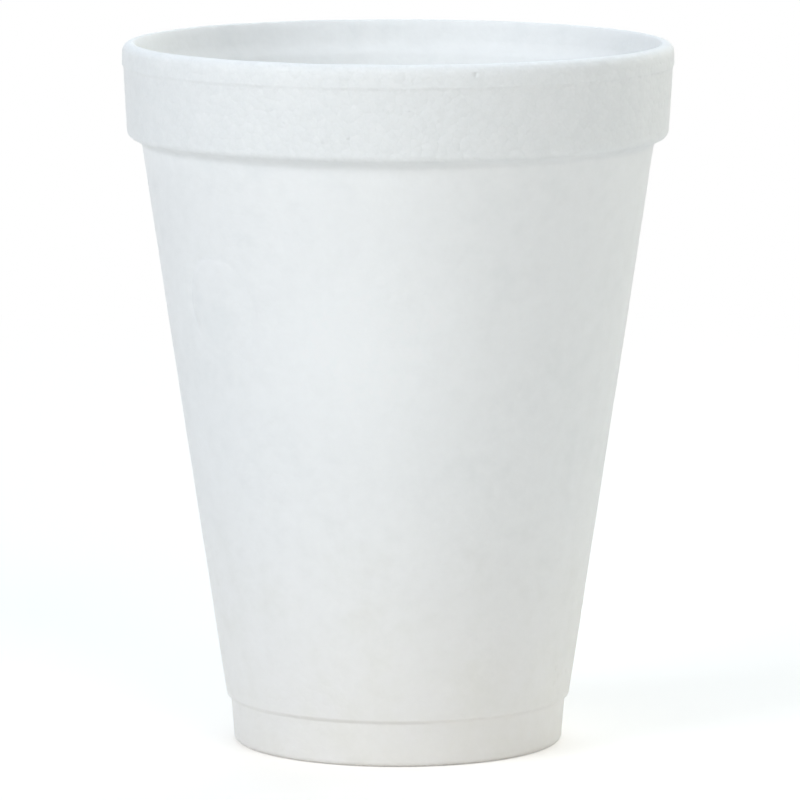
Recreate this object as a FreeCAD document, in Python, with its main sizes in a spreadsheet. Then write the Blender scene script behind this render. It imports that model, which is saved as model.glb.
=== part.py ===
# A foam drinking cup: one moulding of expanded polystyrene beads.
#
# It is a thin-walled cone with a thick band round its mouth, a slim bead at the top of the band, a
# low stacking shoulder inside the mouth, a small step above its foot and a shallow recess under its
# base, so that it stands on a ring. It has no separate pieces: one half section, turned once round
# the axis, makes the whole cup, and then the edges of the mould are rounded.
#
# +Z points up the axis of the cup. The origin is the centre of the ring that the cup stands on.
# All lengths are in millimetres and all angles in degrees.
import FreeCAD, Part
import os

import Sketcher

NODE = "cup"
SECTION_PLANE = "XZ_Plane"
FULL_TURN = 360.0
MM3_PER_ML = 1000.0
# How near a circular edge of the solid lies to the corner of the section that it comes from.
PLACE_MATCH = 1e-4

# Every size that can be set by itself: the name of its cell, its value and what it measures.
SIZES = [
    ("cup_height", 113.6, "from the standing ring to the crest of the lip"),
    ("lip_diameter", 88.9, "across the bead, the widest part of the cup"),
    ("foot_diameter", 53.14, "across the foot at the standing ring, before its edge is rounded"),
    ("wall_thickness", 2.1, "of the side wall, measured level"),
    ("floor_thickness", 2.8, "of the floor between the recess and the inside"),
    ("crest_width", 1.54, "of the flat top of the lip, before its edges are rounded"),
    ("crest_height", 1.26, "of the rounded top of the lip, above the face of the bead"),
    ("crest_lean", 0.62, "how far the outside of the crest leans in over its height"),
    ("bead_height", 3.6, "from the crest down to the lower edge of the bead"),
    ("bead_proud", 0.24, "how far the bead stands out from the band"),
    ("bead_slope", 0.45, "height of the slope under the bead"),
    ("band_height", 15.0, "from the crest down to the outer corner under the band"),
    ("band_draft", 3.35, "lean of the band's face"),
    ("underside_angle", 27.4, "slope of the underside of the band"),
    ("foot_height", 7.23, "from the standing ring up to the step in the wall"),
    ("foot_draft", 4.95, "lean of the foot below the step"),
    ("foot_step", 0.64, "how far the wall steps out above the foot"),
    ("foot_step_rise", 0.3, "how far the underside of that step rises outwards"),
    ("lip_draft", 8.5, "lean of the inside of the lip, above the shoulder"),
    ("shoulder_depth", 4.2, "from the crest down to the top of the inner shoulder"),
    ("shoulder_height", 0.7, "of the sloping face of the inner shoulder"),
    ("shoulder_step", 0.8, "how far the inner shoulder stands in from the lip"),
    ("ring_width", 4.15, "of the standing ring, before its edges are rounded"),
    ("recess_depth", 3.6, "of the recess under the base"),
    ("recess_draft", 10.0, "lean of the side of the recess"),
    ("crest_outer_round", 1.5, "radius of the outer edge of the crest"),
    ("crest_inner_round", 0.5, "radius of the inner edge of the crest"),
    ("band_round", 1.3, "radius of the lower corner of the band"),
    ("band_root_round", 1.2, "radius where the band meets the wall"),
    ("shoulder_round", 0.3, "radius of both edges of the inner shoulder"),
    ("step_round", 0.45, "radius of the outer edge of the step above the foot"),
    ("step_root_round", 0.25, "radius where that step meets the foot"),
    ("foot_round", 0.95, "radius of the outer edge of the standing ring"),
    ("ring_inner_round", 0.5, "radius of the inner edge of the standing ring"),
    ("recess_round", 1.0, "radius where the recess meets the floor"),
    ("floor_round", 3.0, "radius where the inside of the wall meets the floor"),
]


def size(name):
    """A length from the sheet, as an expression."""
    return f"(sizes.{name} * 1 mm)"


def slope(name):
    """The tangent of an angle from the sheet, as an expression."""
    return f"tan(sizes.{name} * 1 deg)"


# The inside of the wall runs straight from the floor to the shoulder, and the outside runs parallel
# to it from the step above the foot. Both widen by this much for each millimetre of height.
WALL_SLOPE = (
    f"(.Constraints.shoulder_foot_r + {size('wall_thickness')} - .Constraints.step_edge_r)"
    " / (.Constraints.shoulder_foot_z - .Constraints.step_edge_z)"
)

# How far in from the corner of the band its underside meets the wall. The wall leans out, so the
# underside reaches it a little further in than the wall is at the height of that corner.
OVERHANG = (
    "(.Constraints.band_edge_r - .Constraints.step_edge_r"
    f" - (.Constraints.band_edge_z - .Constraints.step_edge_z) * {WALL_SLOPE})"
    f" / (1 - {slope('underside_angle')} * {WALL_SLOPE})"
)

# The corners of half a section through the cup, from the axis under the floor, round the outside and
# over the lip, to the axis above the floor: name, radius and height, as expressions on the cells of
# the sheet and on other corners. A radius of None lies on the axis, and a height of None lies on the
# standing plane.
SECTION = [
    ("recess_centre", None, size("recess_depth")),
    (
        "recess_edge",
        f".Constraints.ring_edge_r - {size('recess_depth')} * {slope('recess_draft')}",
        size("recess_depth"),
    ),
    ("ring_edge", f"{size('foot_diameter')} / 2 - {size('ring_width')}", None),
    ("foot_edge", f"{size('foot_diameter')} / 2", None),
    (
        "step_root",
        f".Constraints.foot_edge_r + {size('foot_height')} * {slope('foot_draft')}",
        size("foot_height"),
    ),
    (
        "step_edge",
        f".Constraints.step_root_r + {size('foot_step')}",
        f".Constraints.step_root_z + {size('foot_step_rise')}",
    ),
    (
        "wall_top",
        f".Constraints.band_edge_r - {OVERHANG}",
        f".Constraints.band_edge_z - {OVERHANG} * {slope('underside_angle')}",
    ),
    (
        "band_edge",
        ".Constraints.band_top_r"
        f" - (.Constraints.band_top_z - .Constraints.band_edge_z) * {slope('band_draft')}",
        f"{size('cup_height')} - {size('band_height')}",
    ),
    (
        "band_top",
        f".Constraints.bead_foot_r - {size('bead_proud')}",
        f".Constraints.bead_foot_z - {size('bead_slope')}",
    ),
    ("bead_foot", f"{size('lip_diameter')} / 2", f"{size('cup_height')} - {size('bead_height')}"),
    ("bead_top", f"{size('lip_diameter')} / 2", f"{size('cup_height')} - {size('crest_height')}"),
    ("crest_edge", f".Constraints.bead_top_r - {size('crest_lean')}", size("cup_height")),
    ("mouth_edge", f".Constraints.crest_edge_r - {size('crest_width')}", size("cup_height")),
    (
        "shoulder_top",
        f".Constraints.mouth_edge_r - {size('shoulder_depth')} * {slope('lip_draft')}",
        f"{size('cup_height')} - {size('shoulder_depth')}",
    ),
    (
        "shoulder_foot",
        f".Constraints.shoulder_top_r - {size('shoulder_step')}",
        f".Constraints.shoulder_top_z - {size('shoulder_height')}",
    ),
    (
        "floor_edge",
        ".Constraints.shoulder_foot_r"
        f" - (.Constraints.shoulder_foot_z - .Constraints.floor_edge_z) * {WALL_SLOPE}",
        f"{size('recess_depth')} + {size('floor_thickness')}",
    ),
    ("floor_centre", None, f"{size('recess_depth')} + {size('floor_thickness')}"),
]

# The rounded edges: the cell that holds the radius, the corners that turn with it, and the size of
# the wall that limits it with the largest share of that size that leaves room for the next edge.
ROUNDS = [
    ("band_round", ["band_edge"], None),
    ("band_root_round", ["wall_top"], None),
    ("crest_outer_round", ["crest_edge"], ("crest_width", 0.98)),
    ("crest_inner_round", ["mouth_edge"], ("crest_width", 0.33)),
    ("shoulder_round", ["shoulder_top", "shoulder_foot"], ("shoulder_height", 0.5)),
    ("step_round", ["step_edge"], ("foot_step", 0.75)),
    ("step_root_round", ["step_root"], ("foot_step", 0.4)),
    ("foot_round", ["foot_edge"], ("ring_width", 0.5)),
    ("ring_inner_round", ["ring_edge"], ("ring_width", 0.3)),
    ("recess_round", ["recess_edge"], ("recess_depth", 0.5)),
    ("floor_round", ["floor_edge"], None),
]


def make_sheet(document):
    """Put every driving size in a spreadsheet: its name, its value and what it measures."""
    sheet = document.addObject("Spreadsheet::Sheet", "sizes")
    for row, (name, value, meaning) in enumerate(SIZES, start=1):
        sheet.set(f"A{row}", name)
        sheet.set(f"B{row}", str(value))
        sheet.setAlias(f"B{row}", name)
        sheet.set(f"C{row}", meaning)
    document.recompute()
    return sheet


def origin_feature(body, role):
    """The body's own origin plane or axis that has the given role."""
    return next(feature for feature in body.Origin.OriginFeatures if feature.Role == role)


def hold_distance(sketch, kind, index, name):
    """Hold the start of line number index at a named distance from the origin."""
    sketch.addConstraint(Sketcher.Constraint(kind, -1, 1, index, 1, 1.0))
    sketch.renameConstraint(sketch.ConstraintCount - 1, name)


def place_corner(sketch, index, corner):
    """Hold one corner of the section: on the axis or at its radius, on the base or at its height."""
    name, radius, height = corner
    if radius is None:
        sketch.addConstraint(Sketcher.Constraint("PointOnObject", index, 1, -2))
    else:
        hold_distance(sketch, "DistanceX", index, f"{name}_r")
    if height is None:
        sketch.addConstraint(Sketcher.Constraint("PointOnObject", index, 1, -1))
    else:
        hold_distance(sketch, "DistanceY", index, f"{name}_z")


def bind_corner(sketch, corner):
    """Work out the radius and the height of one corner from the sheet."""
    name, radius, height = corner
    if radius is not None:
        sketch.setExpression(f"Constraints.{name}_r", radius)
    if height is not None:
        sketch.setExpression(f"Constraints.{name}_z", height)


def draw_section(body):
    """Draw the section as a closed outline of straight lines, one line from each corner."""
    sketch = body.newObject("Sketcher::SketchObject", "section")
    sketch.AttachmentSupport = (origin_feature(body, SECTION_PLANE), [""])
    sketch.MapMode = "FlatFace"
    count = len(SECTION)
    # The lines start in rough places in the right order, and the constraints then settle them.
    rough = [FreeCAD.Vector(1 + index % 3, 1 + index, 0) for index in range(count)]
    for index in range(count):
        sketch.addGeometry(Part.LineSegment(rough[index], rough[(index + 1) % count]), False)
    for index in range(count):
        sketch.addConstraint(Sketcher.Constraint("Coincident", index, 2, (index + 1) % count, 1))
    for index, corner in enumerate(SECTION):
        place_corner(sketch, index, corner)
    for corner in SECTION:
        bind_corner(sketch, corner)
    body.Document.recompute()
    return sketch


def turn_section(body, sketch):
    """Turn the section once round the axis of the cup."""
    turned = body.newObject("PartDesign::Revolution", "turned_section")
    turned.Profile = sketch
    turned.ReferenceAxis = (sketch, ["V_Axis"])
    turned.Angle = FULL_TURN
    body.Document.recompute()
    return turned


def corner_places(sketch):
    """The radius and height of every named corner of the solved section."""
    starts = [line.StartPoint for line in sketch.Geometry]
    return {corner[0]: (start.x, start.y) for corner, start in zip(SECTION, starts)}


def same_place(edge, radius, height):
    """Whether an edge is a circle round the axis at the given radius and height."""
    if not isinstance(edge.Curve, Part.Circle):
        return False
    miss = max(abs(edge.Curve.Radius - radius), abs(edge.Curve.Center.z - height))
    return miss < PLACE_MATCH


def circle_names(shape, places):
    """Names of the circular edges of a shape that lie at the given radii and heights."""
    return [
        f"Edge{number}"
        for number, edge in enumerate(shape.Edges, start=1)
        if any(same_place(edge, radius, height) for radius, height in places)
    ]


def round_edges(body, base, cell, limit, places):
    """Round the edges at the given places with the radius that a cell of the sheet holds."""
    names = circle_names(base.Shape, places)
    if len(names) != len(places):
        raise RuntimeError(f"{cell}: {len(names)} edges found for {len(places)} corners")
    fillet = body.newObject("PartDesign::Fillet", cell)
    fillet.Base = (base, names)
    radius = f"sizes.{cell}"
    if limit is not None:
        wall, share = limit
        radius = f"min({radius}; {share} * sizes.{wall})"
    fillet.setExpression("Radius", radius)
    body.Document.recompute()
    return fillet


def build_cup(document):
    """Turn the section into the cup and round its edges."""
    body = document.addObject("PartDesign::Body", NODE)
    body.Label = NODE
    body.Placement = FreeCAD.Placement()
    sketch = draw_section(body)
    solid = turn_section(body, sketch)
    places = corner_places(sketch)
    for cell, corners, limit in ROUNDS:
        solid = round_edges(body, solid, cell, limit, [places[corner] for corner in corners])
    return body


def check_document(document):
    """Stop if any object of the document failed."""
    for item in document.Objects:
        if "Invalid" in item.State or "Error" in item.State:
            raise RuntimeError(f"{item.Name} failed: {item.State}")


def check_shape(body):
    """Stop unless the body is one valid solid."""
    shape = body.Shape
    if shape.isNull() or not shape.isValid():
        raise RuntimeError(f"{body.Label} has no valid shape")
    if len(shape.Solids) != 1:
        raise RuntimeError(f"{body.Label} has {len(shape.Solids)} solids instead of one")


def main():
    document = FreeCAD.newDocument("foam_cup")
    make_sheet(document)
    cup = build_cup(document)
    document.recompute()
    check_document(document)
    check_shape(cup)

    os.makedirs("parts", exist_ok=True)
    cup.Shape.exportStep(f"parts/{cup.Label}.step")
    box = cup.Shape.optimalBoundingBox(True, False)
    print(f"{cup.Label}: {box.XLength:.2f} x {box.YLength:.2f} x {box.ZLength:.2f} mm")
    print(f"foam in it: {cup.Shape.Volume / MM3_PER_ML:.2f} ml")


main()
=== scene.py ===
# %% [markdown]
# # A foam drinking cup
#
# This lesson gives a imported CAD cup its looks. The real cup is moulded in one piece: small beads of
# polystyrene are blown up with steam inside a closed mould until they fuse into a light, white foam.
# So there is one piece to model and one material to make, and both have to be made with care,
# because a plain white object shows its finish only through soft changes of light.
#
# The first cell loads the CAD model. Everything after it is placed from what that model says.

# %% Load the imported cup
import math

import bmesh
import bpy
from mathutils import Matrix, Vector, noise


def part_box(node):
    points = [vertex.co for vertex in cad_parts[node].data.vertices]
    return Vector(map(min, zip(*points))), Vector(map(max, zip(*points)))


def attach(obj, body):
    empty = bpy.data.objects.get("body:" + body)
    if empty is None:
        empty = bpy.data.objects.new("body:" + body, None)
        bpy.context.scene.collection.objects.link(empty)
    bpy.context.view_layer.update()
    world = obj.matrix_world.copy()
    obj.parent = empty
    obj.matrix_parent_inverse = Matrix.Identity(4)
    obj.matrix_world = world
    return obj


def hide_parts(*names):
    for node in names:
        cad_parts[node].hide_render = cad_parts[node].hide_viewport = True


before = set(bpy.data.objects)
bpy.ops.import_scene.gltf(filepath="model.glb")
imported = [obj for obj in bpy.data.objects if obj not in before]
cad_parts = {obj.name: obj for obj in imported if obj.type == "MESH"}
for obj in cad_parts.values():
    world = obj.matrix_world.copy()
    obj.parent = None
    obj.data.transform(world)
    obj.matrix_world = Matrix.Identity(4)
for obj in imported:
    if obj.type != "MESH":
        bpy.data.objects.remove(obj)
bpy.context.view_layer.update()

MM = 0.001
cup_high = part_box("cup")[1]
cup_height = cup_high.z
lip_radius = cup_high.x
print(f"cup: {cup_height / MM:.1f} mm tall, {2 * lip_radius / MM:.1f} mm across the lip")

# %% [markdown]
# ## The section of the wall
#
# A cup like this is a turned shape: one section of its wall, swept once round the axis. The CAD mesh
# is made of long thin triangles, which are good for its size but leave nothing to shape by hand, so
# the visible cup gets a mesh of its own. Its section isn't drawn again. It is cut out of the CAD mesh
# with a plane through the axis, so it is exact, and it follows if the CAD changes.
#
# The cut runs along the +X side, where every ring of the CAD mesh has a vertex. What is left is a
# chain of short edges from the middle of the recess under the base, round the foot, up the outside,
# over the lip and down the inside to the middle of the floor. Both ends are then drawn to the axis.

# %% Cut the section out of the CAD mesh
MERGE = 1e-6


def cut_section(node):
    """A bmesh that holds only the +X half of the node's section through the axis."""
    bm = bmesh.new()
    bm.from_mesh(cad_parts[node].data)
    bmesh.ops.remove_doubles(bm, verts=bm.verts, dist=MERGE)
    everything = bm.verts[:] + bm.edges[:] + bm.faces[:]
    bmesh.ops.bisect_plane(
        bm, geom=everything, dist=MERGE, plane_co=(0, 0, 0), plane_no=(0, 1, 0),
        clear_inner=True, clear_outer=True,
    )
    far_side = [v for v in bm.verts if v.co.x < MERGE]
    bmesh.ops.delete(bm, geom=far_side, context="VERTS")
    return bm


def loose_ends(bm):
    """The vertices that only one edge meets."""
    return [v for v in bm.verts if len(v.link_edges) == 1]


def draw_to_axis(bm):
    """Join each loose end of the section to a new vertex on the axis at its own height."""
    for end in loose_ends(bm):
        made = bmesh.ops.extrude_vert_indiv(bm, verts=[end])
        made["verts"][0].co.x = 0


section = cut_section("cup")
draw_to_axis(section)
print(f"section: {len(section.verts)} corners")

# %% [markdown]
# ## Holding the corners
#
# Every corner of the section becomes a ring of the cup. Smooth shading spreads the turn of a small
# rounding over the whole of the next face, which would blur the step above the foot and the edge of
# the band. So each long run of the outside first gets a ring close to both its ends. Corners that
# crowd each other on the small roundings are merged before that.

# %% Merge crowded corners and hold the ends of long runs
CROWDED = 0.28 * MM
LONG_RUN = 1.5 * MM
HOLDING = 0.22 * MM


def chain_from(start):
    """The vertices of a chain of edges, in order from one of its ends."""
    chain = [start]
    seen = {start}
    while True:
        onward = [e.other_vert(chain[-1]) for e in chain[-1].link_edges]
        onward = [v for v in onward if v not in seen]
        if not onward:
            return chain
        chain.append(onward[0])
        seen.add(onward[0])


def ordered(bm):
    """The section's corners from the base to the floor inside, and the number of the crest."""
    chain = chain_from(min(loose_ends(bm), key=lambda v: v.co.z))
    return chain, max(range(len(chain)), key=lambda i: chain[i].co.z)


def hold_corners(bm):
    """Add a corner close to both ends of each long run up the outside."""
    chain, crest = ordered(bm)
    for low, high in zip(chain[:crest], chain[1:crest + 1]):
        run = high.co - low.co
        if run.z > LONG_RUN:
            edge = bm.edges.get((low, high))
            edge, middle = bmesh.utils.edge_split(edge, low, HOLDING / run.length)
            onward = bm.edges.get((middle, high))
            bmesh.utils.edge_split(onward, high, HOLDING / (run.length - HOLDING))


bmesh.ops.remove_doubles(section, verts=section.verts, dist=CROWDED)
hold_corners(section)
print(f"section: {len(section.verts)} corners, held")

# %% [markdown]
# ## Spacing the rings
#
# The relief that comes later moves vertices, so the long straight walls need rings too. Their edges
# are divided until no two rings are further apart than their part of the cup allows. The rings are
# closest on the band and the lip, which the eye reads first, and widest deep inside the cup, where
# the foam is smoothest.

# %% Divide the long edges
BAND_SPACING = 0.85 * MM
WALL_SPACING = 1.35 * MM
MOUTH_SPACING = 1.1 * MM
INSIDE_SPACING = 3.5 * MM
# The band with its underside is about this tall, and the eye sees about this far into the mouth.
BAND_ZONE = 17 * MM
MOUTH_ZONE = 10 * MM


def spacing_at(middle, outside):
    """How far apart the rings lie at a place on the section."""
    below_crest = cup_height - middle.z
    if outside:
        return BAND_SPACING if below_crest < BAND_ZONE else WALL_SPACING
    return MOUTH_SPACING if below_crest < MOUTH_ZONE else INSIDE_SPACING


def space_rings(bm):
    """Divide the section's long edges, those with the same number of cuts together."""
    chain, crest = ordered(bm)
    cuts = {}
    for i, (low, high) in enumerate(zip(chain, chain[1:])):
        edge = bm.edges.get((low, high))
        spacing = spacing_at((low.co + high.co) / 2, i < crest)
        count = math.ceil(edge.calc_length() / spacing) - 1
        if count > 0:
            cuts.setdefault(count, []).append(edge)
    for count, edges in cuts.items():
        bmesh.ops.subdivide_edges(bm, edges=edges, cuts=count)


space_rings(section)
print(f"section: {len(section.verts)} rings")

# %% [markdown]
# ## Turning the cup
#
# Spin sweeps the section once round the axis. Its last step lands on the first, so use_merge joins
# them, and merging by distance closes the two poles on the axis, where every step left a copy of the
# same vertex. Only then are the normals worked out, so that they all point out of the foam.

# %% Spin the section
STEPS = 276


def turn(bm):
    """Spin a section round the axis into a closed mesh."""
    bmesh.ops.spin(
        bm, geom=bm.verts[:] + bm.edges[:], cent=(0, 0, 0), axis=(0, 0, 1),
        angle=math.tau, steps=STEPS, use_merge=True,
    )
    bmesh.ops.remove_doubles(bm, verts=bm.verts, dist=MERGE)
    bmesh.ops.recalc_face_normals(bm, faces=bm.faces)


turn(section)
open_edges = [e for e in section.edges if not e.is_manifold]
print(f"cup: {len(section.faces)} faces, {len(open_edges)} open edges")

# %% [markdown]
# ## A finer band
#
# The band and the crest carry a pebbled relief about a millimetre across, which needs vertices about
# half a millimetre apart. A finer mesh everywhere would be heavy, so only the faces that look out or
# up in that zone have all their edges halved, and the rest of the cup stays light.

# %% Halve the edges of the band
# A face belongs to the outside while it leans inward by less than this, as the crest does.
OUTWARD = -0.2
band_foot = cup_height - BAND_ZONE


def refine(bm, faces, cuts):
    """Divide every edge of some faces, and so the faces themselves."""
    edges = list({e for f in faces for e in f.edges})
    bmesh.ops.subdivide_edges(bm, edges=edges, cuts=cuts, use_grid_fill=True)
    bmesh.ops.recalc_face_normals(bm, faces=bm.faces)


def outward(place):
    """The level direction that points away from the axis at a place."""
    return Vector((place.x, place.y, 0)).normalized()


def on_band(place, normal):
    """True on the outside of the band and the crest."""
    return place.z > band_foot and normal.dot(outward(place)) > OUTWARD


refine(section, [f for f in section.faces if on_band(f.calc_center_median(), f.normal)], 1)
print(f"cup: {len(section.faces)} faces, {len(section.calc_loop_triangles())} triangles")

# %% [markdown]
# ## Where the mould left its marks
#
# The beads are blown into the mould through a gun, and the plug that closes its hole leaves a faint
# round mark, here taken to be on the wall. Where beads never quite met there are pinholes, here a few
# near the foot and one on the lip. Each mark is a place on the outside, given by its angle round the
# cup from the front, in degrees, and its height. A distance from it is measured along the surface.

# %% Place the marks
PLUG_MARK = (-49.0, 73.8 * MM)
PLUG_RADIUS = 7.8 * MM
PINHOLES = [
    (62.6, 13.7 * MM), (65.4, 12.2 * MM), (62.7, 11.2 * MM), (72.2, 12.5 * MM), (15.8, 112.0 * MM),
]


def from_mark(place, angle, height):
    """How far round the outside and how far up a place lies from a mark."""
    turned = math.atan2(place.x, -place.y) - math.radians(angle)
    turned = math.remainder(turned, math.tau)
    return Vector((turned * math.hypot(place.x, place.y), place.z - height))


def from_plug_rim(place):
    """How far a place lies from the rim of the plug's mark, less than 0 inside it."""
    return from_mark(place, *PLUG_MARK).length - PLUG_RADIUS


def from_pinhole(place):
    """How far a place lies from the nearest pinhole."""
    return min(from_mark(place, *mark).length for mark in PINHOLES)


print(f"marks: 1 plug mark, {len(PINHOLES)} pinholes")

# %% [markdown]
# ## Faces for the marks
#
# Such small things could be painted on, but a real dent catches the light from any side. So the faces
# near the rim of the plug's mark and round each pinhole are divided until they can take its shape.
# The marks are on the outside only, and a place inside the cup can lie at the same angle and height,
# so a face also has to look outward to be chosen.

# %% Divide the faces round the marks
PLUG_REACH = 1.4 * MM
PLUG_CUTS = 1
PINHOLE_REACH = 0.8 * MM
PINHOLE_CUTS = 3
# The side of the wall and the band looks outward by more than this, and the crest by less.
SIDEWAYS = 0.5


def on_side(place, normal):
    """True on the outside of the wall and the band, where the marks are."""
    return normal.dot(outward(place)) > SIDEWAYS


def outer_faces(bm, distance, reach):
    """The faces on the outside that lie within reach of a mark."""
    found = []
    for face in bm.faces:
        place = face.calc_center_median()
        if on_side(place, face.normal) and abs(distance(place)) < reach:
            found.append(face)
    return found


refine(section, outer_faces(section, from_plug_rim, PLUG_REACH), PLUG_CUTS)
refine(section, outer_faces(section, from_pinhole, PINHOLE_REACH), PINHOLE_CUTS)
print(f"cup: {len(section.faces)} faces, {len(section.calc_loop_triangles())} triangles")

# %% [markdown]
# ## Hollows and dimples
#
# No foam cup is as true as its CAD model, because the foam shrinks a little as it cools, and not
# evenly. The next cells each say how deep one kind of flaw is at a place, and a last one moves the
# mesh by all of them together. All of this only ever takes foam away from the mould's shape, so the
# cup stays inside its CAD box. The first kind is the very shallow hollows and dimples of the whole
# surface, which are soft noise at two sizes.

# %% The depth of hollows and dimples
HOLLOW_SIZE = 11 * MM
HOLLOW_DEPTH = 0.10 * MM
DIMPLE_SIZE = 3.2 * MM
DIMPLE_DEPTH = 0.05 * MM


def share(value, low, high):
    """How far a value is from low to high, eased at both ends, from 0 to 1."""
    t = min(max((value - low) / (high - low), 0), 1)
    return t * t * (3 - 2 * t)


def lumps(place, size):
    """Soft noise between 0 and 1, with lumps of a given size."""
    return 0.5 + 0.5 * noise.noise(place / size)


def foam_depth(place):
    """How far the foam has shrunk back from the mould at a place."""
    return HOLLOW_DEPTH * lumps(place, HOLLOW_SIZE) + DIMPLE_DEPTH * lumps(place, DIMPLE_SIZE)


print(f"hollows: up to {(HOLLOW_DEPTH + DIMPLE_DEPTH) / MM:.2f} mm deep")

# %% [markdown]
# ## Beads and the parting line
#
# On the band the foam is thick and cools last, so its beads show as small domes with valleys between
# them. A Voronoi pattern packs cells in the same way: the distance from the nearest cell's middle is
# 0 on top of a bead and grows towards the valleys. A fine groove also runs round just under the
# crest, where the two halves of the mould meet.

# %% The depth of the beads and the groove
BEAD_SIZE = 1.25 * MM
BEAD_DEPTH = 0.09 * MM
BEAD_FADE = 3 * MM
PARTING_HEIGHT = cup_height - 1.3 * MM
PARTING_WIDTH = 0.35 * MM
PARTING_DEPTH = 0.06 * MM


def bead_depth(place):
    """How deep a place on the band lies between its beads."""
    distances, _ = noise.voronoi(place / BEAD_SIZE)
    amount = share(place.z, band_foot, band_foot + BEAD_FADE)
    return BEAD_DEPTH * amount * min(distances[0], 1) ** 2


def parting_depth(place):
    """How deep the groove of the mould's parting line is at a place on the band."""
    across = abs(place.z - PARTING_HEIGHT) / PARTING_WIDTH
    return PARTING_DEPTH * (1 - share(across, 0, 1))


print(f"beads: {BEAD_SIZE / MM:.2f} mm across, up to {BEAD_DEPTH / MM:.2f} mm deep")

# %% [markdown]
# ## The plug's mark and the pinholes
#
# The plug leaves a slightly sunken disc with a finer groove round it. It never closes quite square,
# so the groove is deepest on one side. A pinhole is a pit with soft sides. Both are bell curves of
# the distance from the mark, which have no hard edge for the mesh to miss.

# %% The depth of the marks
PLUG_DEPTH = 0.08 * MM
PLUG_EDGE = 0.5 * MM
PLUG_RIM_DEPTH = 0.42 * MM
PLUG_RIM_WIDTH = 0.6 * MM
# The groove has this share of its depth all round, and the rest only on the side it leans to.
PLUG_RIM_LEAST = 0.35
PLUG_LEAN = Vector((-0.85, 0.53))
PINHOLE_DEPTH = 0.26 * MM
PINHOLE_WIDTH = 0.32 * MM


def bell(distance, width):
    """1 at no distance, falling smoothly to 0 a few widths away."""
    return math.exp(-((distance / width) ** 2))


def plug_depth(place):
    """How deep a place lies in the plug's mark."""
    across = from_plug_rim(place)
    disc = 1 - share(across, -PLUG_EDGE, PLUG_EDGE)
    side = share(from_mark(place, *PLUG_MARK).normalized().dot(PLUG_LEAN), 0, 1)
    rim = bell(across, PLUG_RIM_WIDTH) * (PLUG_RIM_LEAST + (1 - PLUG_RIM_LEAST) * side)
    return PLUG_DEPTH * disc + PLUG_RIM_DEPTH * rim


def pinhole_share(place):
    """1 in the middle of a pinhole, falling to 0 round it."""
    return bell(from_pinhole(place), PINHOLE_WIDTH)


print(f"plug mark: {PLUG_RIM_DEPTH / MM:.2f} mm deep, pinholes: {PINHOLE_DEPTH / MM:.2f} mm deep")

# %% [markdown]
# ## A rim that isn't quite true
#
# The rim is the freest edge of the cup, so it draws in a little more in some directions than in
# others, and drops a little more on one side. Slow waves round the cup give that. They fade out
# towards the foot of the band, and they only draw inward and down.

# %% How the rim has moved
LIP_LOBES = 3
LIP_PULL = 0.10 * MM
LIP_PULL_TURN = 0.6
LIP_DROP = 0.12 * MM
LIP_DROP_TURN = 0.9
LIP_ZONE = 18 * MM


def lip_shift(place):
    """How the whole rim has drawn in and dropped at a place: nothing lower down."""
    amount = share(place.z, cup_height - LIP_ZONE, cup_height)
    angle = math.atan2(place.y, place.x)
    wave = 0.5 - 0.5 * math.cos(LIP_LOBES * angle + LIP_PULL_TURN)
    slow = 0.5 + 0.5 * math.cos(angle - LIP_DROP_TURN)
    return amount * (-outward(place) * LIP_PULL * wave + Vector((0, 0, -LIP_DROP * slow)))


print(f"rim: drawn in by up to {LIP_PULL / MM:.2f} mm, down by up to {LIP_DROP / MM:.2f} mm")

# %% [markdown]
# ## Sinking the surface
#
# Every vertex sinks against its normal by the depths at its place, and then moves with the rim. All
# the moves are worked out before the first vertex moves, because a normal changes as soon as its
# neighbours do. The ring that the cup stands on stays where it is, so the cup still stands level.
#
# Each vertex also keeps how deep in a pinhole it lies, as an attribute, so that the material can paint
# shade into the pinholes.

# %% Sink every vertex
STANDING_ZONE = 1.5 * MM


def depth_at(place, normal):
    """How deep all the flaws together are at a place on the surface."""
    depth = foam_depth(place) * share(place.z, 0, STANDING_ZONE)
    if on_band(place, normal):
        depth += bead_depth(place) + parting_depth(place)
    if on_side(place, normal):
        depth += plug_depth(place) + PINHOLE_DEPTH * pinhole_share(place)
    return depth


def sink(bm):
    """Move every vertex by the foam's shrinkage, and mark how deep in a pinhole each lies, for painted
    shade.
    """
    painted_pinhole_shade = bm.verts.layers.float.new("painted_pinhole_shade")
    shifts = []
    for v in bm.verts:
        # How deep in a pinhole the vertex lies, which the material darkens as painted shade.
        v[painted_pinhole_shade] = pinhole_share(v.co) if on_side(v.co, v.normal) else 0
        shifts.append(lip_shift(v.co) - v.normal * depth_at(v.co, v.normal))
    for v, shift in zip(bm.verts, shifts):
        v.co += shift
    return shifts


moves = sink(section)
print(f"cup: {len(moves)} vertices moved, by up to {max(m.length for m in moves) / MM:.2f} mm")

# %% [markdown]
# ## One object for the cup
#
# The finished mesh becomes an object at the origin, unturned, as the CAD node is. Its faces are shaded
# smooth, because foam has no facets. Two calls then say what it is: it moves with the root body, and
# it is shown in place of the CAD node. Its material is added to it further on.

# %% Make the cup object
cup_mesh = bpy.data.meshes.new("foam_cup")
section.to_mesh(cup_mesh)
section.free()
cup_mesh.shade_smooth()
foam_cup = bpy.data.objects.new("foam_cup", cup_mesh)
bpy.context.collection.objects.link(foam_cup)
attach(foam_cup, "root")
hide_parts("cup")
print(f"foam_cup: {len(cup_mesh.polygons)} faces")

# %% [markdown]
# ## Writing shader maths
#
# A node tree is a sum with its terms wired together. It is easier to read as a Python expression, so
# one small class wraps a socket and lets +, - and * add the Math nodes that they stand for. The
# reflected forms let a plain number come first, as in 1 - mask. A second class holds the tree itself
# and adds any other node with one method.

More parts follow.
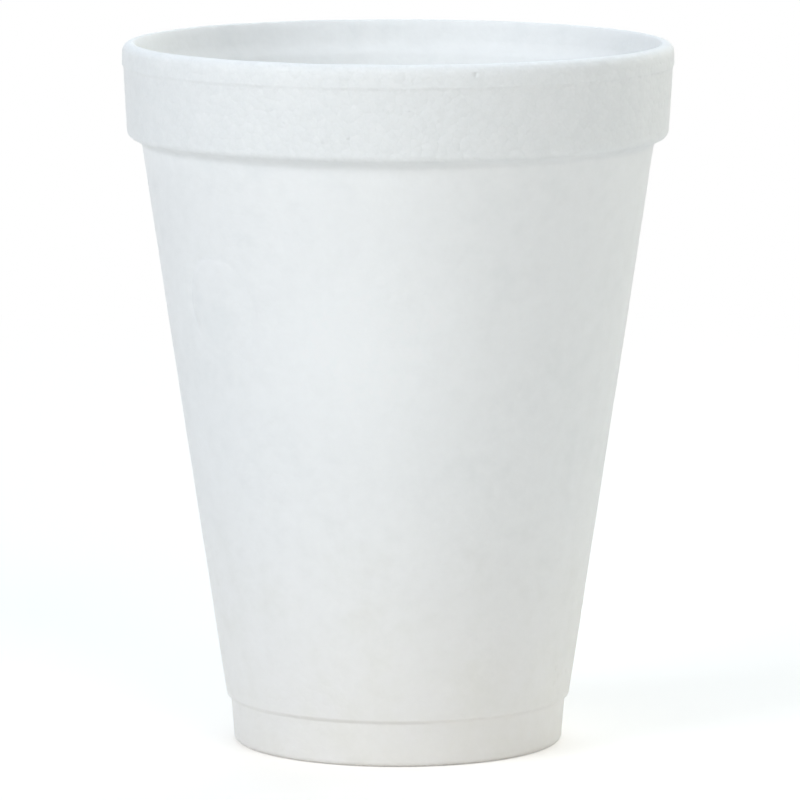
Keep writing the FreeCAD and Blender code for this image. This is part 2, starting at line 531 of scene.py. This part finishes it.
# %% A socket that can be added and multiplied
class Value:
    """A number or a vector that varies over the surface: one output socket of a node tree."""

    def __init__(self, tree, socket):
        self.tree = tree
        self.socket = socket

    def maths(self, operation, other):
        """A Math node with this value first."""
        return self.tree.node("ShaderNodeMath", {"operation": operation}, {0: self, 1: other})

    def __add__(self, other):
        return self.maths("ADD", other)

    def __sub__(self, other):
        return self.maths("SUBTRACT", other)

    def __rsub__(self, other):
        return self.tree.node("ShaderNodeMath", {"operation": "SUBTRACT"}, {0: other, 1: self})

    def __mul__(self, other):
        return self.maths("MULTIPLY", other)

    __radd__ = __add__
    __rmul__ = __mul__


class Tree:
    """The node tree of a material or a world, built by one method."""

    def __init__(self, owner):
        owner.use_nodes = True
        self.nodes = owner.node_tree.nodes
        self.links = owner.node_tree.links
        self.nodes.clear()

    def node(self, kind, settings=None, inputs=None, output=0):
        """Add a node: its settings first, then a number or a link for each named or numbered input."""
        made = self.nodes.new(kind)
        for name, value in (settings or {}).items():
            setattr(made, name, value)
        for name, value in (inputs or {}).items():
            if isinstance(value, Value):
                self.links.new(value.socket, made.inputs[name])
            else:
                made.inputs[name].default_value = value
        if len(made.outputs) == 0:
            return None
        return Value(self, made.outputs[output])


# %% [markdown]
# ## Noise, cells and easing
#
# An image of foam would show its edges and its repeats. The whole finish is built from three nodes
# instead: soft noise, Voronoi cells, and Map Range, which turns a distance into a mask with soft
# edges. Noise and cells are read from the object's own coordinates, so they stay on the cup wherever
# it goes, and their scale is 1 over a size in metres.

# %% The building blocks of the finish
NOISE_ROUGHNESS = 0.55
CELL_RANDOMNESS = 0.95


def noise_of(tree, place, size, detail):
    """Soft noise from about 0.3 to 0.7, with lumps of a given size."""
    values = {"Vector": place, "Scale": 1 / size, "Detail": detail, "Roughness": NOISE_ROUGHNESS}
    return tree.node("ShaderNodeTexNoise", {}, values)


def cells_of(tree, place, size, feature, output):
    """Cells packed like beads: how far a place is from its bead's middle or edge, or its shade."""
    values = {"Vector": place, "Scale": 1 / size, "Randomness": CELL_RANDOMNESS}
    return tree.node("ShaderNodeTexVoronoi", {"feature": feature}, values, output)


def eased(tree, value, low, high):
    """How far a value is from low to high, eased at both ends, from 0 to 1."""
    values = {"Value": value, "From Min": low, "From Max": high}
    return tree.node("ShaderNodeMapRange", {"interpolation_type": "SMOOTHSTEP"}, values)


# %% [markdown]
# ## The bead pattern of the foam
#
# Seen close, the surface is a pattern of flattened beads, each about a millimetre across, with a fine
# seam where two meet and now and then a gap where three don't quite close. The cells are as large as
# the beads of the relief. Their middles give the domes, their edges the seams, and each has a colour
# of its own that gives the bead its shade. Finer noise makes the crumbs on every bead.

# %% Beads, seams, crumbs and gaps
CRUMB_SIZE = 0.42 * MM
GAP_SPACING = 4.5 * MM
# These are measured in cells, from a cell's edge for a seam and from its middle for a gap.
SEAM_WIDTH = 0.2
GAP_START = 0.03
GAP_END = 0.08


def pattern_of(tree, place):
    """The parts of the bead pattern, each a value for the relief, the tone and the roughness."""
    middle = cells_of(tree, place, BEAD_SIZE, "F1", "Distance")
    edge = cells_of(tree, place, BEAD_SIZE, "DISTANCE_TO_EDGE", "Distance")
    colour = cells_of(tree, place, BEAD_SIZE, "F1", "Color")
    from_gap = cells_of(tree, place, GAP_SPACING, "F1", "Distance")
    return {
        "dome": 1 - middle * middle,
        "seam": 1 - eased(tree, edge, 0.0, SEAM_WIDTH),
        "shade": tree.node("ShaderNodeSeparateColor", {}, {0: colour}, "Red"),
        "crumbs": noise_of(tree, place, CRUMB_SIZE, 1.0),
        "gap": 1 - eased(tree, from_gap, GAP_START, GAP_END),
    }


print(f"pattern: beads of {BEAD_SIZE / MM:.2f} mm, crumbs of {CRUMB_SIZE / MM:.2f} mm")

# %% [markdown]
# ## Where the foam differs, and painted bounce light at the foot
#
# The mould presses the wall smoother than the thick band, so the pattern is strong on the outside of
# the band and faint everywhere else. Two slow changes of colour come on top. The foam is a little
# whiter round a place on the front of the wall, and towards the foot a painted warm light stands in
# for light bounced off the floor. Each of these is a mask: a value between 0 and 1, worked out from
# the place alone.

# %% Masks for the band, the pale patch and the painted bounce at the foot
BAND_FADE = 2 * MM
OUTER_START = lip_radius - 2.3 * MM
OUTER_END = lip_radius - 1.5 * MM
PALE_MIDDLE = (-4 * MM, -36 * MM, 68 * MM)
PALE_REACH = 26 * MM
# How far up the wall the painted warm bounce light from the floor reaches.
BOUNCE_REACH = 55 * MM


def band_of(tree, place, level):
    """1 on the outside of the band, 0 on the wall and inside the cup."""
    flat = tree.node("ShaderNodeVectorMath", {"operation": "MULTIPLY"}, {0: place, 1: (1, 1, 0)})
    radius = tree.node("ShaderNodeVectorMath", {"operation": "LENGTH"}, {0: flat}, "Value")
    high = eased(tree, level, band_foot, band_foot + BAND_FADE)
    return high * eased(tree, radius, OUTER_START, OUTER_END)


def pale_of(tree, place):
    """1 in the middle of the pale patch on the front of the wall, falling to 0 round it."""
    between = {0: place, 1: PALE_MIDDLE}
    away = tree.node("ShaderNodeVectorMath", {"operation": "DISTANCE"}, between, "Value")
    return 1 - eased(tree, away, 0.0, PALE_REACH)


def floor_bounce_of(tree, level):
    """Where the painted warm bounce light from the floor falls: 1 at the foot, falling to 0 half way
    up the wall.
    """
    return 1 - eased(tree, level, 0.0, BOUNCE_REACH)


print(f"masks: band above {band_foot / MM:.1f} mm, warm below {BOUNCE_REACH / MM:.1f} mm")

# %% [markdown]
# ## The finest relief
#
# The finest relief, some hundredths of a millimetre, would need millions of faces, so a Bump node
# gives it: domes for the beads, low seams, crumbs and pits. Its height is in metres and its distance
# is 1, so the depths below are real ones.

# %% Relief of the beads
BEAD_DOME = 0.1 * MM
SEAM_DEPTH = 0.012 * MM
CRUMB_HEIGHT = 0.04 * MM
GAP_DEPTH = 0.06 * MM


def relief_of(tree, pattern, strength):
    """A Bump node for the fused beads, as strong as the place shows them."""
    height = pattern["dome"] * BEAD_DOME - pattern["seam"] * SEAM_DEPTH
    height = height + pattern["crumbs"] * CRUMB_HEIGHT - pattern["gap"] * GAP_DEPTH
    values = {"Height": strength * height, "Strength": 1.0, "Distance": 1.0}
    return tree.node("ShaderNodeBump", {}, values)


print(f"relief: domes of {BEAD_DOME / MM:.2f} mm, gaps of {GAP_DEPTH / MM:.2f} mm")

# %% [markdown]
# ## A white that varies
#
# The white of foam is never one flat colour. Each bead has its own shade, and a slow mottle and clouds
# run through the wall. Seams, gaps and pinholes are darkened with painted shade, and so, a little, is
# the band. They are all added into one tone about 1, which then multiplies the foam's white. A painted
# warm light, which stands in for light bounced off the floor onto the foot, is added to the red and
# taken from the blue, which leaves the lightness nearly alone.

# %% Tone and colour
MOTTLE_SIZE = 3.0 * MM
CLOUD_SIZE = 11 * MM
CLOUD_DETAIL = 2.0
SHADE_TONE = 0.022
CRUMB_TONE = 0.06
# Painted shade: the seams and gaps are darkened where shade falls between the beads.
SEAM_PAINTED_SHADE = 0.007
GAP_PAINTED_SHADE = 0.03
MOTTLE_TONE = 0.09
CLOUD_TONE = 0.11
# The band hides this share of the clouds, and gets a little painted shade, which stands in for the
# thick band letting less light through than the thin wall.
BAND_CALM = 0.55
BAND_PAINTED_SHADE = 0.03
PALE_TONE = 0.08
# Painted shade in the pinholes.
PINHOLE_SHADE_TONE = 0.07
FOAM_WHITE = (0.93, 0.942, 0.943)
# Painted warm light bounced from the floor: added to the red and taken from the blue towards the foot.
BOUNCE_RED = 0.049
BOUNCE_BLUE = 0.043


def tone_of(tree, place, pattern, band, strength):
    """How light the foam is at a place, about 1, with painted shade in seams, gaps, pinholes and on
    the band.
    """
    beads = (pattern["shade"] - 0.5) * SHADE_TONE + (pattern["crumbs"] - 0.5) * CRUMB_TONE
    # Painted shade in the seams and gaps between beads.
    beads = beads - pattern["seam"] * SEAM_PAINTED_SHADE - pattern["gap"] * GAP_PAINTED_SHADE
    mottle = noise_of(tree, place, MOTTLE_SIZE, CLOUD_DETAIL)
    clouds = noise_of(tree, place, CLOUD_SIZE, CLOUD_DETAIL)
    cloudy = (mottle - 0.5) * MOTTLE_TONE + (clouds - 0.5) * CLOUD_TONE
    # How deep in a pinhole a place lies, which is darkened as painted shade.
    painted_pinhole_shade = tree.node("ShaderNodeAttribute", {"attribute_name": "painted_pinhole_shade"}, {}, "Fac")
    tone = strength * beads + cloudy * (1 - band * BAND_CALM)
    # Painted shade on the band and in the pinholes is taken off here.
    return tone + pale_of(tree, place) * PALE_TONE - band * BAND_PAINTED_SHADE - painted_pinhole_shade * PINHOLE_SHADE_TONE + 1


def colour_of(tree, tone, bounce_share):
    """The foam's white at a tone, with painted warm bounce light from the floor towards the foot."""
    red, green, blue = FOAM_WHITE
    red = tone * red + bounce_share * BOUNCE_RED
    blue = tone * blue - bounce_share * BOUNCE_BLUE
    return tree.node("ShaderNodeCombineColor", {}, {0: red, 1: tone * green, 2: blue})


print(f"white: {FOAM_WHITE}")

# %% [markdown]
# ## The foam material
#
# Foam is mostly air, so light enters it a little way and comes out beside where it went in. That is
# subsurface scattering, and it is why shadows on foam are never hard. Full scattering would wash the
# beads out, so it takes a little over half of the light and plain diffuse reflection the rest. The
# skin has a soft satin shine, weaker than that of solid plastic.

# %% Make the foam
# The walls show their beads only this much as strongly as the band does.
WALL_SHARE = 0.3
SATIN = 0.52
CRUMB_ROUGHNESS = 0.2
SEAM_ROUGHNESS = 0.08
SKIN_GLOSS = 0.2
LIGHT_SHARE = 0.6
LIGHT_DEPTH = 1.0 * MM


def foam_material():
    """White expanded polystyrene: fused beads, gaps between them and a soft, cloudy white."""
    material = bpy.data.materials.new("white_foam")
    tree = Tree(material)
    place = tree.node("ShaderNodeTexCoord", output="Object")
    level = tree.node("ShaderNodeSeparateXYZ", {}, {0: place}, "Z")
    band = band_of(tree, place, level)
    strength = band * (1 - WALL_SHARE) + WALL_SHARE
    pattern = pattern_of(tree, place)
    tone = tone_of(tree, place, pattern, band, strength)
    roughness = (pattern["crumbs"] - 0.5) * CRUMB_ROUGHNESS + pattern["seam"] * SEAM_ROUGHNESS
    values = {
        "Base Color": colour_of(tree, tone, floor_bounce_of(tree, level)),
        "Roughness": roughness + SATIN,
        "Normal": relief_of(tree, pattern, strength),
        "Specular IOR Level": SKIN_GLOSS,
        "Subsurface Weight": LIGHT_SHARE,
        "Subsurface Radius": (1.0, 1.0, 1.0),
        "Subsurface Scale": LIGHT_DEPTH,
    }
    shader = tree.node("ShaderNodeBsdfPrincipled", {"subsurface_method": "RANDOM_WALK"}, values)
    tree.node("ShaderNodeOutputMaterial", {}, {"Surface": shader})
    return material


white_foam = foam_material()
foam_cup.data.materials.append(white_foam)
print(f"white_foam: {len(white_foam.node_tree.nodes)} nodes")

# %% [markdown]
# ## White for the eye only
#
# A white background made with more light would burn the white cup out. The floor and the room only
# look whiter than they are: a Light Path node tells the rays that show them to the camera, straight or
# in something glossy or clear, from the rays that only gather light. The floor and the room are white
# for the first kind and stay as they are for the second, so the cup isn't lit by that white, apart
# from a faint gleam in its satin skin.

# %% A mask for what is seen
def seen_directly(tree):
    """1 for a ray that shows a thing itself or its mirror image, 0 for one that only gathers light."""
    camera_ray = tree.node("ShaderNodeLightPath", output="Is Camera Ray")
    gloss_ray = tree.node("ShaderNodeLightPath", output="Is Glossy Ray")
    glass_ray = tree.node("ShaderNodeLightPath", output="Is Transmission Ray")
    return camera_ray.maths("MAXIMUM", gloss_ray.maths("MAXIMUM", glass_ray))


# %% [markdown]
# ## The floor
#
# The cup stands on plain pale paper. Where it is seen, the paper glows a little, so that it reads as
# nearly white and still keeps the cup's soft shadow, and further off it fades to plain white, so that
# no horizon shows.

# %% Make the floor
PAPER = (0.84, 0.82, 0.79, 1)
FLOOR_GLOW = 0.34
FADE_START = 0.15
FADE_END = 0.55
FLOOR_SIZE = 8.0


def floor_material():
    """Pale paper that keeps a shadow near the cup and turns to plain white further off."""
    material = bpy.data.materials.new("pale_floor")
    tree = Tree(material)
    seen = seen_directly(tree)
    place = tree.node("ShaderNodeTexCoord", output="Object")
    away = tree.node("ShaderNodeVectorMath", {"operation": "LENGTH"}, {0: place}, "Value")
    far = eased(tree, away, FADE_START, FADE_END)
    paper = tree.node("ShaderNodeBsdfDiffuse", {}, {"Color": PAPER})
    glow = tree.node("ShaderNodeEmission", {}, {"Strength": FLOOR_GLOW})
    lit = tree.node("ShaderNodeAddShader", {}, {0: paper, 1: glow})
    near = tree.node("ShaderNodeMixShader", {}, {0: seen, 1: paper, 2: lit})
    white = tree.node("ShaderNodeEmission", {}, {"Strength": 1.0})
    both = tree.node("ShaderNodeMixShader", {}, {0: far * seen, 1: near, 2: white})
    tree.node("ShaderNodeOutputMaterial", {}, {"Surface": both})
    return material


floor_bm = bmesh.new()
bmesh.ops.create_grid(floor_bm, x_segments=1, y_segments=1, size=FLOOR_SIZE / 2)
floor_mesh = bpy.data.meshes.new("floor")
floor_bm.to_mesh(floor_mesh)
floor_bm.free()
floor = bpy.data.objects.new("floor", floor_mesh)
bpy.context.collection.objects.link(floor)
floor.data.materials.append(floor_material())
print(f"floor: {FLOOR_SIZE:.0f} m across, white from {FADE_END:.2f} m")

# %% [markdown]
# ## The room
#
# Pale walls all round send back a little even light, which fills the shadows. Where the room is seen
# it is plain white, so the cup has a clean background. The same mask as in the floor's material keeps
# the two apart.

# %% Light the room
ROOM_STRENGTH = 0.1
WHITE = (1, 1, 1, 1)


def light_room():
    """An even pale room, which the camera and any gloss see as white."""
    world = bpy.data.worlds.new("pale_room")
    tree = Tree(world)
    room = tree.node("ShaderNodeBackground", {}, {"Color": WHITE, "Strength": ROOM_STRENGTH})
    white = tree.node("ShaderNodeBackground", {}, {"Color": WHITE, "Strength": 1.0})
    mixed = tree.node("ShaderNodeMixShader", {}, {0: seen_directly(tree), 1: room, 2: white})
    tree.node("ShaderNodeOutputWorld", {}, {"Surface": mixed})
    bpy.context.scene.world = world


light_room()
print(f"room: strength {ROOM_STRENGTH}")

# %% [markdown]
# ## The lamps
#
# A white object is drawn by its shading alone, so the light has to come from more than one side and
# be a little uneven. Each lamp is a large square panel, like a soft box, all at one distance from the
# middle of the cup. The strongest stands to the front left, a weaker one to the front right, and the
# others light the inside, the sides and the rim. The ones from behind and above are slightly blue, as
# daylight is, and the one from the back right is slightly warm. None of them shows to the camera.
#
# A lamp's place is given as its angle round the cup from the front and its angle above the floor.

# %% Add the lamps
LAMP_SIZE = 0.8
LAMP_DISTANCE = 1.3
cup_middle = Vector((0, 0, cup_height / 2))


def add_lamp(name, azimuth, elevation, watts, colour):
    """A square soft lamp that points at the middle of the cup."""
    data = bpy.data.lights.new(name, "AREA")
    data.shape = "SQUARE"
    data.size = LAMP_SIZE
    data.energy = watts
    data.color = colour
    lamp = bpy.data.objects.new(name, data)
    round_cup = math.radians(azimuth)
    above = math.radians(elevation)
    level = Vector((math.sin(round_cup), -math.cos(round_cup), 0))
    away = level * math.cos(above) + Vector((0, 0, math.sin(above)))
    lamp.location = cup_middle + LAMP_DISTANCE * away
    lamp.rotation_euler = away.to_track_quat("Z", "Y").to_euler()
    lamp.visible_camera = False
    bpy.context.collection.objects.link(lamp)


add_lamp("front_left", -54, 28, 8.3, (0.95, 1.0, 1.055))
add_lamp("front_right", 28, 28, 5.4, (0.99, 1.0, 0.97))
add_lamp("back_right", 132, 20, 4.5, (1.0, 1.0, 0.86))
add_lamp("right", 100, 38, 0.9, (0.9, 1.0, 1.1))
add_lamp("behind", 180, 50, 4.7, (0.85, 1.0, 1.15))
add_lamp("overhead", 0, 85, 2.9, (0.87, 1.0, 1.13))
watts = sum(lamp.energy for lamp in bpy.data.lights)
print(f"lamps: {len(bpy.data.lights)}, {watts:.1f} W in all")

# %% [markdown]
# ## The camera
#
# The camera stands more than a metre away with a long lens, which keeps the sides of the cup straight
# and its mouth a narrow ellipse, and it looks slightly down into the mouth. It stands in front of the
# cup, hardly to one side of its axis, and needs no shift. The view transform is Standard, so a colour
# renders about as it is written.

# %% Set up the camera
LENS = 318.2
SENSOR = 36.0
CAMERA_PLACE = (0.000336, -1.132, 0.2122)
# How far the camera looks down, in degrees.
LOOK_DOWN = 7.89

camera_data = bpy.data.cameras.new("camera")
camera_data.lens = LENS
camera_data.sensor_width = SENSOR
camera = bpy.data.objects.new("camera", camera_data)
camera.location = CAMERA_PLACE
camera.rotation_euler = (math.radians(90 - LOOK_DOWN), 0, 0)
bpy.context.collection.objects.link(camera)
bpy.context.scene.camera = camera
bpy.context.scene.view_settings.view_transform = "Standard"
print(f"camera: {camera.location.length:.2f} m away, looking down by {LOOK_DOWN} degrees")
